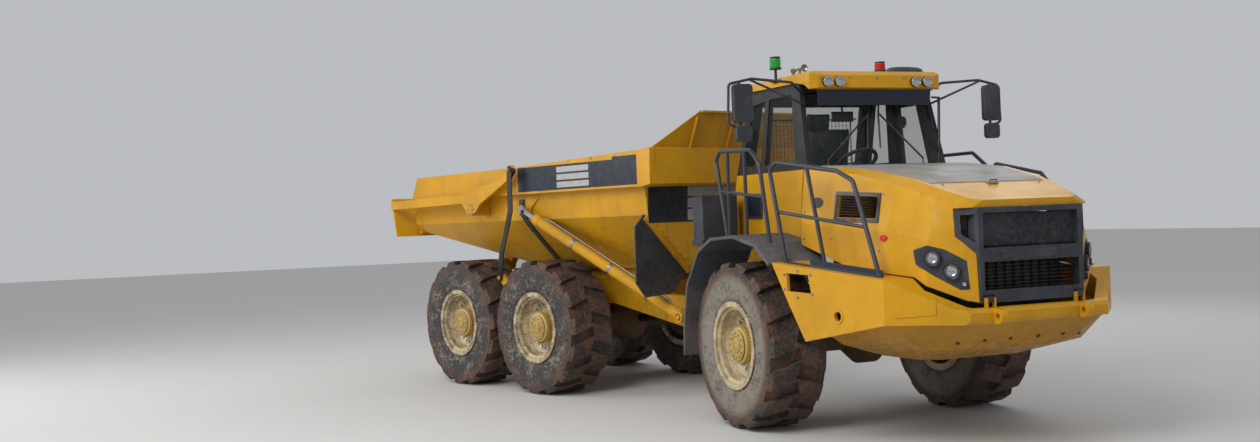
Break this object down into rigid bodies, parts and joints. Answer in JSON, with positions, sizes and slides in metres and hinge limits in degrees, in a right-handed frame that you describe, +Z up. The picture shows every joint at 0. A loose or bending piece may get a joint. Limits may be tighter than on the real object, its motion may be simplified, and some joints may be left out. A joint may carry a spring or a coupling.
{
  "type": "articulated dump truck",
  "caption": "Three-axle off-road dump truck, hinged at mid frame, with a tipping bin and tailgate, tilting hood, cab with opening door and rolling wheels.",
  "frame": {"origin": "on the ground, at the middle of the parked machine's plan", "axes": "+X forward along the front unit, +Y to its left, +Z up; the rear unit is turned at the hitch"},
  "size_m": [10.2348, 4.8789, 3.596],
  "materials": {
    "yellow_paint": "worn gloss paint with dust",
    "frame_paint": "painted casting under dried mud",
    "engine": "satin",
    "black_metal": "satin",
    "dark_plastic": "moulded, dusty",
    "glass": "clear",
    "cab_trim": "grained",
    "lamp": "lamp housings",
    "rail_paint": "dark satin paint",
    "rubber": "dusty sheet rubber",
    "chrome_rod": "polished",
    "tyre": "worn, with dried mud",
    "rim_paint": "cream paint, muddy"
  },
  "bodies": {
    "front": {"front_frame": "frame_paint", "engine_block": "engine", "front_axle": "frame_paint", "radiator": "black_metal", "belly_plate": "frame_paint", "side_skirts": "yellow_paint", "bumper": "yellow_paint", "fenders": "dark_plastic", "deck": "dark_plastic", "cowl": "yellow_paint", "cab_frame": "yellow_paint", "cab_glass": "glass", "cab_roof": "yellow_paint", "cab_interior": "cab_trim", "roof_lamps": "lamp", "handrails": "rail_paint", "mirror_right": "dark_plastic", "mirror_left": "dark_plastic"},
    "hood": {"hood": "yellow_paint", "grille": "dark_plastic", "headlamps": "lamp"},
    "door": {"cab_door": "yellow_paint", "door_glass": "glass"},
    "hitch": {"hitch": "frame_paint"},
    "rear": {"rear_frame": "yellow_paint", "mid_axle": "frame_paint", "rear_axle": "frame_paint", "walking_beams": "frame_paint", "drive_shaft": "black_metal"},
    "bin": {"bin": "yellow_paint", "headboard": "yellow_paint", "stone_guards": "rubber"},
    "tailgate": {"tailgate": "yellow_paint"},
    "strap_right": {"strap_right": "black_metal"},
    "hoist_barrel_right": {"hoist_barrel_right": "yellow_paint"},
    "hoist_rod_right": {"hoist_rod_right": "chrome_rod"},
    "steer_barrel_right": {"steer_barrel_right": "yellow_paint"},
    "steer_rod_right": {"steer_rod_right": "chrome_rod"},
    "front_wheel_right": {"front_tyre_right": "tyre", "front_rim_right": "rim_paint"},
    "mid_wheel_right": {"mid_tyre_right": "tyre", "mid_rim_right": "rim_paint"},
    "rear_wheel_right": {"rear_tyre_right": "tyre", "rear_rim_right": "rim_paint"},
    "strap_left": {"strap_left": "black_metal"},
    "hoist_barrel_left": {"hoist_barrel_left": "yellow_paint"},
    "hoist_rod_left": {"hoist_rod_left": "chrome_rod"},
    "steer_barrel_left": {"steer_barrel_left": "yellow_paint"},
    "steer_rod_left": {"steer_rod_left": "chrome_rod"},
    "front_wheel_left": {"front_tyre_left": "tyre", "front_rim_left": "rim_paint"},
    "mid_wheel_left": {"mid_tyre_left": "tyre", "mid_rim_left": "rim_paint"},
    "rear_wheel_left": {"rear_tyre_left": "tyre", "rear_rim_left": "rim_paint"}
  },
  "joints": [
    {"name": "steering", "type": "hinge", "parent": "front", "child": "hitch", "pos_m": [1.1275, 0.8679, 1], "axis": [0, 0, 1], "range_deg": [-62.5, 27.5]},
    {"name": "frame_roll", "type": "hinge", "parent": "hitch", "child": "rear", "pos_m": [1.1275, 0.8679, 1], "axis": [-0.9537, -0.3007, 0], "range_deg": [-15, 15]},
    {"name": "bin_tip", "type": "hinge", "parent": "rear", "child": "bin", "pos_m": [-3.56479, -0.61157, 1.5], "axis": [0.3007, -0.9537, 0], "range_deg": [0, 70]},
    {"name": "tailgate", "type": "hinge", "parent": "bin", "child": "tailgate", "pos_m": [-2.73124, -0.34876, 2.24], "axis": [0.3007, -0.9537, 0], "range_deg": [-81.61, 0]},
    {"name": "strap_right", "type": "hinge", "parent": "rear", "child": "strap_right", "pos_m": [-2.62061, -0.31387, 1.37], "axis": [0.3007, -0.9537, 0], "range_deg": [0, 46.53]},
    {"name": "strap_left", "type": "hinge", "parent": "rear", "child": "strap_left", "pos_m": [-2.62061, -0.31387, 1.37], "axis": [0.3007, -0.9537, 0], "range_deg": [0, 46.53]},
    {"name": "hoist_swing_right", "type": "hinge", "parent": "rear", "child": "hoist_barrel_right", "pos_m": [0.52072, -0.2671, 0.95], "axis": [-0.6003, 0.1554, -0.7845], "range_deg": [0, 5.82]},
    {"name": "hoist_stroke_right", "type": "slide", "parent": "hoist_barrel_right", "child": "hoist_rod_right", "axis": [-0.7495, -0.4517, 0.484], "range_m": [0, 2.1923]},
    {"name": "hoist_swing_left", "type": "hinge", "parent": "rear", "child": "hoist_barrel_left", "pos_m": [-0.02056, 1.4496, 0.95], "axis": [0.4026, 0.4716, 0.7845], "range_deg": [0, 5.82]},
    {"name": "hoist_stroke_left", "type": "slide", "parent": "hoist_barrel_left", "child": "hoist_rod_left", "axis": [-0.873, -0.0599, 0.484], "range_m": [0, 2.1923]},
    {"name": "steer_swing_right", "type": "hinge", "parent": "front", "child": "steer_barrel_right", "pos_m": [1.8575, 0.2779, 0.93], "axis": [0, 0, 1], "range_deg": [-3.37, 1.5]},
    {"name": "steer_stroke_right", "type": "slide", "parent": "steer_barrel_right", "child": "steer_rod_right", "axis": [-0.9464, 0.3231, 0], "range_m": [-0.1482, 0.3361]},
    {"name": "steer_swing_left", "type": "hinge", "parent": "front", "child": "steer_barrel_left", "pos_m": [1.8575, 1.4579, 0.93], "axis": [0, 0, 1], "range_deg": [-1.02, 0.46]},
    {"name": "steer_stroke_left", "type": "slide", "parent": "steer_barrel_left", "child": "steer_rod_left", "axis": [-0.9368, -0.3498, 0], "range_m": [-0.3399, 0.1498]},
    {"name": "front_wheel_right", "type": "hinge", "parent": "front", "child": "front_wheel_right", "pos_m": [2.3575, -0.3021, 0.795], "axis": [0, 1, 0], "continuous": true},
    {"name": "mid_wheel_right", "type": "hinge", "parent": "rear", "child": "mid_wheel_right", "pos_m": [-1.33414, -1.13503, 0.795], "axis": [-0.3007, 0.9537, 0], "continuous": true},
    {"name": "rear_wheel_right", "type": "hinge", "parent": "rear", "child": "rear_wheel_right", "pos_m": [-2.92685, -1.63721, 0.795], "axis": [-0.3007, 0.9537, 0], "continuous": true},
    {"name": "front_wheel_left", "type": "hinge", "parent": "front", "child": "front_wheel_left", "pos_m": [2.3575, 2.0379, 0.795], "axis": [0, 1, 0], "continuous": true},
    {"name": "mid_wheel_left", "type": "hinge", "parent": "rear", "child": "mid_wheel_left", "pos_m": [-2.03779, 1.09667, 0.795], "axis": [-0.3007, 0.9537, 0], "continuous": true},
    {"name": "rear_wheel_left", "type": "hinge", "parent": "rear", "child": "rear_wheel_left", "pos_m": [-3.6305, 0.59449, 0.795], "axis": [-0.3007, 0.9537, 0], "continuous": true},
    {"name": "hood_tilt", "type": "hinge", "parent": "front", "child": "hood", "pos_m": [4.9575, 0.8679, 1.29], "axis": [0, 1, 0], "range_deg": [0, 65]},
    {"name": "cab_door", "type": "hinge", "parent": "front", "child": "door", "pos_m": [1.9875, 1.6999, 2.4], "axis": [0, 0, 1], "range_deg": [0, 90]}
  ],
  "couplings": [
    {"joint": "tailgate", "follows": "bin_tip", "ratio": -1.1658},
    {"joint": "strap_right", "follows": "bin_tip", "ratio": 0.66461},
    {"joint": "strap_left", "follows": "bin_tip", "ratio": 0.66461},
    {"joint": "hoist_swing_right", "follows": "bin_tip", "ratio": 0.082964},
    {"joint": "hoist_stroke_right", "follows": "bin_tip", "m_per_rad": 1.794},
    {"joint": "hoist_swing_left", "follows": "bin_tip", "ratio": 0.082964},
    {"joint": "hoist_stroke_left", "follows": "bin_tip", "m_per_rad": 1.794},
    {"joint": "steer_swing_right", "follows": "steering", "ratio": 0.053667},
    {"joint": "steer_stroke_right", "follows": "steering", "m_per_rad": -0.30765},
    {"joint": "steer_swing_left", "follows": "steering", "ratio": 0.015968},
    {"joint": "steer_stroke_left", "follows": "steering", "m_per_rad": 0.31117}
  ]
}
